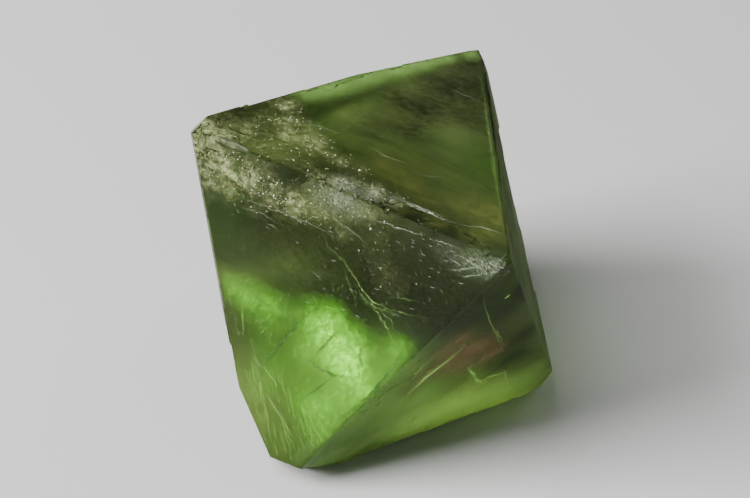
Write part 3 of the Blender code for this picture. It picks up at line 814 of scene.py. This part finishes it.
silver = veil_material(
    "silver_crack_and_glint", (0.26, 0.32, 0.2), (0.58, 0.62, 0.54),
    angle=0.7, scale=2.2, stretch=1.6, cut=0.4, softness=0.22, most=0.95, least=0.2)
lime_crack_and_rim_light = veil_material(
    "lime_crack_and_rim_light", (0.13, 0.26, 0.05), (0.44, 0.66, 0.22),
    angle=0.7, scale=3.2, stretch=1.3, cut=0.44, softness=0.2, most=0.9, least=0.12)
# Painted light: a brighter copy of the lime crack colour for the front right face, which the lamps
# leave in shade.
painted_lit_crack = veil_material(
    "painted_lit_crack", (0.3, 0.66, 0.08), (0.58, 0.96, 0.24),
    angle=0.7, scale=2.2, stretch=1.6, cut=0.34, softness=0.22, most=1.0, least=0.8)
dark_crack = veil_material(
    "dark_crack", (0.03, 0.1, 0.01), (0.012, 0.045, 0.005),
    angle=0.7, scale=2.2, stretch=1.6, cut=0.36, softness=0.22, most=0.95, least=0.75)
cracks("silver_glint_and_cracks_top", "top", [
    # Painted glint: these three streaks are the glint of the stone's lower back edge seen through the
    # top face.
    (0.8, 0.15, 0.45, [(22.6, 2.3), (24.0, 2.1), (25.7, 2.2), (27.2, 2.3), (28.4, 2.2)]),
    (1.0, 0.09, 0.32, [(23.0, 2.2), (24.6, 1.9), (25.7, 1.9), (26.8, 2.0), (27.9, 2.0), (29.0, 2.0),
        (29.9, 2.1)]),
    (0.8, 0.06, 0.22, [(29.6, 2.0), (30.6, 2.4), (31.3, 2.8), (32.0, 3.1), (33.1, 3.3), (34.5, 3.3)]),
    (0.5, 0.05, 0.14, [(8.8, 7.6), (10.7, 8.0), (12.6, 8.3), (14.2, 8.5)]),
    (0.5, 0.05, 0.18, [(16.0, 8.4), (17.4, 8.0), (18.7, 7.7), (20.4, 7.9), (21.6, 8.2)]),
    (0.4, 0.05, 0.18, [(18.1, 22.7), (19.7, 22.5), (21.2, 22.5), (22.8, 22.6)]),
    (0.4, 0.05, 0.18, [(22.5, 7.0), (23.6, 7.2), (24.7, 8.0), (25.8, 8.4)]),
], silver, seed=31.0)
cracks("silver_front", "front", [
    (0.6, 0.05, 0.16, [(6.5, 5.2), (9.4, 4.8), (12.0, 4.7), (14.9, 4.6), (17.3, 4.7), (19.1, 4.9)]),
    (0.5, 0.05, 0.14, [(7.6, 6.0), (10.0, 5.6), (12.4, 5.9)]),
    (0.6, 0.06, 0.30, [(30.6, 3.4), (31.8, 3.0), (33.0, 2.2), (34.4, 1.2)]),
    (0.6, 0.06, 0.30, [(31.2, 1.4), (32.6, 1.7), (34.0, 1.9), (35.2, 2.1)]),
    (0.9, 0.07, 0.18, [(21.3, 1.7), (22.4, 1.5), (23.7, 1.4), (25.1, 1.3), (26.4, 1.2), (27.7, 1.0)]),
    (0.7, 0.06, 0.18, [(27.9, 1.1), (29.0, 1.0), (30.1, 0.9), (31.2, 0.8)]),
    (0.6, 0.05, 0.18, [(17.2, 2.8), (18.4, 3.2), (19.7, 3.5), (20.6, 3.7), (21.9, 4.2)]),
    (0.6, 0.05, 0.18, [(30.0, 1.9), (30.8, 2.2), (31.5, 2.3), (32.4, 2.4)]),
    (0.7, 0.05, 0.22, [(31.6, 3.6), (32.6, 3.3), (33.8, 2.7), (34.9, 2.0)]),
    (0.5, 0.05, 0.14, [(11.0, 6.3), (11.9, 6.4), (12.6, 6.6)]),
], silver, seed=32.0)
cracks("lime_cracks_and_painted_light_front", "front", [
    (0.9, 0.08, 0.30, [(17.2, 4.8), (18.1, 6.1), (19.1, 6.4), (20.0, 6.7), (20.8, 7.4), (21.6, 7.9),
        (22.3, 8.6), (23.0, 9.0), (23.7, 9.4), (24.3, 9.6), (25.3, 9.6), (26.1, 9.7), (27.2, 9.5),
        (28.5, 9.4), (29.5, 9.1), (30.4, 9.1)]),
    (0.7, 0.08, 0.60, [(21.9, 8.6), (23.2, 9.6), (24.6, 10.1), (26.0, 10.0), (27.6, 9.8)]),
    (0.8, 0.06, 0.25, [(25.5, 8.6), (26.3, 8.3), (27.1, 8.1), (28.0, 7.9), (28.7, 7.7)]),
    (0.9, 0.08, 0.40, [(24.0, 9.7), (24.6, 10.4), (25.4, 10.7), (26.1, 11.3), (26.8, 11.9),
        (27.3, 12.6), (28.2, 13.0)]),
    (0.7, 0.06, 0.30, [(24.9, 9.9), (25.9, 10.4), (26.9, 10.9), (27.6, 11.8)]),
    (0.6, 0.06, 0.20, [(20.4, 7.5), (21.1, 8.7), (22.2, 9.8), (23.0, 10.9)]),
    # Painted rim highlight: a lime line of light along the front face's left edge.
    (0.7, 0.10, 0.25, [(8.0, 12.0), (9.1, 15.0), (10.8, 18.2), (12.7, 21.5), (14.5, 24.7), (17.0, 27.9),
        (18.9, 29.6)]),
    # Painted light: lime streaks in the lower left of the front face's glow.
    (0.7, 0.10, 0.40, [(13.6, 19.8), (14.6, 21.7), (15.5, 23.6), (17.0, 26.1), (17.7, 28.5)]),
    (0.8, 0.10, 0.45, [(26.5, 20.7), (27.1, 19.5), (27.8, 18.0), (28.2, 16.7), (28.2, 15.4),
        (28.7, 14.4), (29.5, 13.2)]),
], lime_crack_and_rim_light, seed=33.0)
cracks("dark_front", "front", [
    (1.0, 0.16, 0.54, [(13.7, 22.4), (14.9, 20.6), (15.8, 18.6), (17.4, 14.7), (19.2, 11.9)]),
    (1.0, 0.16, 0.50, [(19.6, 18.6), (19.8, 18.0), (20.7, 16.1), (21.6, 14.1), (22.3, 12.9)]),
    (0.9, 0.22, 0.68, [(17.6, 17.9), (18.4, 18.2), (20.7, 18.8), (22.7, 18.7), (24.3, 18.3),
        (25.2, 18.4)]),
    (0.9, 0.16, 0.50, [(19.6, 23.3), (20.1, 22.5), (21.3, 20.8), (22.7, 18.7)]),
    (1.0, 0.20, 0.70, [(23.8, 23.9), (24.9, 22.3), (26.7, 19.5), (27.8, 16.8), (28.9, 13.1),
        (29.6, 11.6)]),
    (0.8, 0.14, 0.38, [(23.7, 14.2), (24.5, 15.0), (24.9, 16.3), (25.9, 17.0)]),
    (0.7, 0.14, 0.38, [(10.9, 13.0), (11.9, 14.1), (13.4, 14.6), (14.6, 13.9)]),
], dark_crack, seed=34.0)
# Painted rim highlights: lime lines of light along the top face's two edges that meet at its back
# corner.
cracks("painted_rim_light_top", "top", [
    (0.6, 0.20, 0.50, [(36.2, 0.4), (34.8, 2.4), (31.3, 8.4), (26.2, 17.0), (21.1, 25.6),
        (18.2, 30.5)]),
    (0.5, 0.30, 0.45, [(3.1, 5.9), (6.0, 11.6), (9.0, 17.2), (12.6, 23.8), (16.6, 30.6)]),
], lime_crack_and_rim_light, seed=36.0)
# Painted light: lines brightened to make up for the shade on the front right face.
cracks("painted_lit_cracks_front_right", "front_right", [
    (1.0, 0.34, 0.90, [(22.3, 5.7), (21.4, 5.7), (18.5, 5.8), (16.5, 6.3), (15.0, 6.8), (13.0, 6.9)]),
    (1.0, 0.28, 0.75, [(30.6, 11.0), (29.8, 11.1), (28.1, 11.4), (26.6, 11.7), (25.0, 11.7),
        (24.0, 11.4)]),
    (0.6, 0.06, 0.14, [(4.8, 0.6), (7.3, 3.9), (9.5, 7.4), (11.8, 11.4), (14.5, 15.7)]),
    (0.6, 0.06, 0.14, [(13.2, 14.5), (10.8, 10.0), (10.8, 8.9), (11.2, 7.4)]),
    (1.0, 0.20, 0.55, [(16.6, 11.6), (17.3, 12.7), (18.7, 15.3), (19.0, 15.9)]),
    (1.0, 0.20, 0.55, [(18.3, 14.5), (18.9, 15.8), (19.4, 17.5), (19.6, 18.6)]),
    (1.0, 0.20, 0.50, [(19.4, 16.6), (19.1, 17.5), (18.6, 17.6), (18.1, 19.4), (17.8, 20.4)]),
    (0.9, 0.10, 0.25, [(16.9, 18.5), (19.2, 21.9), (20.7, 25.0)]),
    (0.9, 0.15, 0.30, [(18.8, 2.5), (17.2, 3.2), (15.2, 3.2)]),
    (0.9, 0.30, 0.40, [(5.7, 5.5), (4.9, 5.6)]),
], painted_lit_crack, seed=35.0)

# ---- Fibres and scratches ---------------------------------------------------------------------
# The healed cracks have a silky grain, and years of handling have left fine pale scratches.
# Each is a hair's breadth wide and long and flat. They lie nearly one way on each face.
THREAD_DEPTH = FILM * 2.0
THREAD_SIDES = 10    # corners of the flat disc that is drawn out into a thread
THREAD_HEIGHT = 0.05  # scale of the disc across its plane, in which it has no thickness

scatter_threads, entry, leave = new_group(
    "scatter_threads", "GeometryNodeTree",
    SCATTER_INPUTS + [("Direction", "Vector"), ("Spread", "Float")], [("Geometry", "Geometry")])
points, scales = scatter_points(scatter_threads, entry)
upright = add(scatter_threads, "FunctionNodeAlignRotationToVector", {"axis": "Z"},
              links={"Vector": points.outputs["Normal"]})
pointed = add(scatter_threads, "FunctionNodeAlignRotationToVector", {"axis": "X", "pivot_axis": "Z"},
              links={"Rotation": upright.outputs["Rotation"], "Vector": entry.outputs["Direction"]})
least_swing = add(scatter_threads, "ShaderNodeMath", {"operation": "MULTIPLY"}, {1: -1.0},
                  {0: entry.outputs["Spread"]})
swing = add(scatter_threads, "FunctionNodeRandomValue", {"data_type": "FLOAT"},
            links={2: least_swing.outputs["Value"], 3: entry.outputs["Spread"],
                   "Seed": entry.outputs["Seed"]})
swung = add(scatter_threads, "FunctionNodeAxisAngleToRotation", values={"Axis": (0.0, 0.0, 1.0)},
            links={"Angle": swing.outputs[1]})
aimed = add(scatter_threads, "FunctionNodeRotateRotation", {"rotation_space": "LOCAL"},
            links={"Rotation": pointed.outputs["Rotation"], "Rotate By": swung.outputs["Rotation"]})
disc = add(scatter_threads, "GeometryNodeMeshCircle", {"fill_type": "NGON"},
           {"Vertices": THREAD_SIDES, "Radius": 1.0})
place_on_points(scatter_threads, entry, leave, points, disc, aimed.outputs["Rotation"], scales)


def threads(name, face, spots, per_mm2, smallest, largest, direction, spread, material, seed):
    """Thin flat threads on a face. Sizes are half a length and half a width, in millimetres."""
    scatter(name, face, spots, THREAD_DEPTH, scatter_threads,
            {"Density": per_mm2 / MM ** 2, "Smallest": Vector((*smallest, THREAD_HEIGHT)) * MM,
             "Largest": Vector((*largest, THREAD_HEIGHT)) * MM, "Direction": direction,
             "Spread": spread}, material, seed)


# Partly painted light: the bright lime tones of the fibres belong to the painted glow on the front
# face; the dark tone draws fine veins.
silk = toned_material("silk_fibre_glow", roughness=0.5, specular=0.3, cover=0.22, tones=[
    (0.0, (0.46, 0.95, 0.12)), (0.55, (0.04, 0.16, 0.01)), (0.85, (0.62, 0.95, 0.3)),
])
scratch = toned_material("scratch", roughness=0.5, specular=0.3, cover=0.34, tones=[
    (0.0, (0.3, 0.36, 0.22)), (0.7, (0.6, 0.66, 0.52)),
])
SILK_UPPER = [
    (20.0, 17.0, 4.0, 1.0), (24.5, 18.0, 3.5, 1.0), (12.5, 15.8, 2.5, 0.8), (23.5, 22.5, 2.5, 0.6),
]
SILK_LOWER = [
    (15.4, 21.3, 1.8, 0.9), (16.6, 23.8, 1.8, 1.0), (18.2, 26.5, 1.8, 1.0), (21.2, 24.2, 2.2, 0.6),
    (10.8, 17.6, 1.4, 0.5),
]
DARK_SPOTS = [
    (10.0, 7.0, 4.0, 0.7), (17.0, 6.5, 5.0, 0.9), (24.0, 6.0, 5.0, 1.0), (30.0, 4.0, 4.0, 1.0),
    (27.0, 9.5, 3.5, 0.8),
]
TOP_SPOTS = [
    (12.0, 8.0, 5.0, 0.8), (18.0, 12.0, 6.0, 0.8), (24.0, 7.0, 5.0, 0.8), (19.0, 20.0, 6.0, 0.7),
    (28.0, 6.0, 4.0, 0.8),
]
CORNER_SPOTS = [(12.0, 9.0, 6.0, 0.8), (20.0, 12.0, 6.0, 0.8), (25.0, 15.0, 5.0, 0.6)]
_, along, inward, _ = face_axes("front")
threads("silk_upper", "front", SILK_UPPER, per_mm2=3.2, smallest=(0.15, 0.008),
        largest=(0.5, 0.022), direction=inward + along * -0.35, spread=0.3, material=silk,
        seed=SCATTER_SEED + 2)
threads("silk_lower", "front", SILK_LOWER, per_mm2=4.0, smallest=(0.15, 0.008),
        largest=(1.4, 0.022), direction=inward + along * 0.75, spread=0.3, material=silk,
        seed=SCATTER_SEED + 12)
for number, (face, spots, lean, per_mm2) in enumerate((("front", DARK_SPOTS, 0.5, 0.9),
                                                       ("top", TOP_SPOTS, 0.1, 0.25),
                                                       ("front_right", CORNER_SPOTS, 0.3, 0.15))):
    _, along, inward, _ = face_axes(face)
    threads("scratches_" + face, face, spots, per_mm2=per_mm2, smallest=(0.03, 0.01),
            largest=(0.32, 0.024), direction=along + inward * lean, spread=0.7, material=scratch,
            seed=SCATTER_SEED + 3 + number)

# ---- Ground, light and camera ---------------------------------------------------------------
# A plain pale floor, soft light from three lamps and the sky, and a camera that looks down on
# the front of the stone at about 37 degrees.
FLOOR_DROP = 0.3 * MM  # room for the films on the stone's lowest faces
FLOOR_REACH = 3.0
stage_collection = new_collection("stage")
floor_paint = new_material("floor_paint", {"Base Color": (0.5, 0.5, 0.495, 1.0),
                                           "Roughness": 0.9})[0]
floor_corners = [(x * FLOOR_REACH, y * FLOOR_REACH, -FLOOR_DROP)
                 for x, y in ((-1, -1), (1, -1), (1, 1), (-1, 1))]
floor_mesh = bpy.data.meshes.new("floor")
floor_mesh.from_pydata(floor_corners, [], [(0, 1, 2, 3)])
floor = new_object("floor", floor_mesh, stage_collection, floor_paint)

world = bpy.data.worlds.new("studio")
world.use_nodes = True
sky = world.node_tree.nodes["Background"]
sky.inputs["Color"].default_value = (0.86, 0.88, 0.9, 1.0)
sky.inputs["Strength"].default_value = 0.14
bpy.context.scene.world = world

LAMPS = {  # each lamp: its place and its width in metres, and its power in watts
    "key": ((-0.52, -0.3, 0.4), 0.34, 15.0),
    "overhead": ((-0.29, -0.2, 0.61), 0.32, 3.6),
    "back": ((0.36, 0.46, 0.39), 0.3, 0.7),
}
for name, (place, width, power) in LAMPS.items():
    lamp_data = bpy.data.lights.new(name, "AREA")
    lamp_data.size = width
    lamp_data.energy = power
    lamp = bpy.data.objects.new(name, lamp_data)
    stage_collection.objects.link(lamp)
    lamp.location = place
    lamp.rotation_euler = (CENTRE - Vector(place)).to_track_quat("-Z", "Y").to_euler()

CAMERA_PLACE = CENTRE + Vector((-0.219, -238.658, 179.157)) * MM
CAMERA_RIGHT = Vector((0.98672162, 0.09702547, 0.13025551))
CAMERA_UP = Vector((-0.16242057, 0.58943971, 0.79131561))
camera_data = bpy.data.cameras.new("camera")
camera_data.lens = 135.09
camera_data.sensor_width = 36.0
camera_data.clip_start = 0.01
camera = bpy.data.objects.new("camera", camera_data)
stage_collection.objects.link(camera)
turn = Matrix((CAMERA_RIGHT, CAMERA_UP, CAMERA_RIGHT.cross(CAMERA_UP))).transposed().to_4x4()
camera.matrix_world = Matrix.Translation(CAMERA_PLACE) @ turn
bpy.context.scene.camera = camera
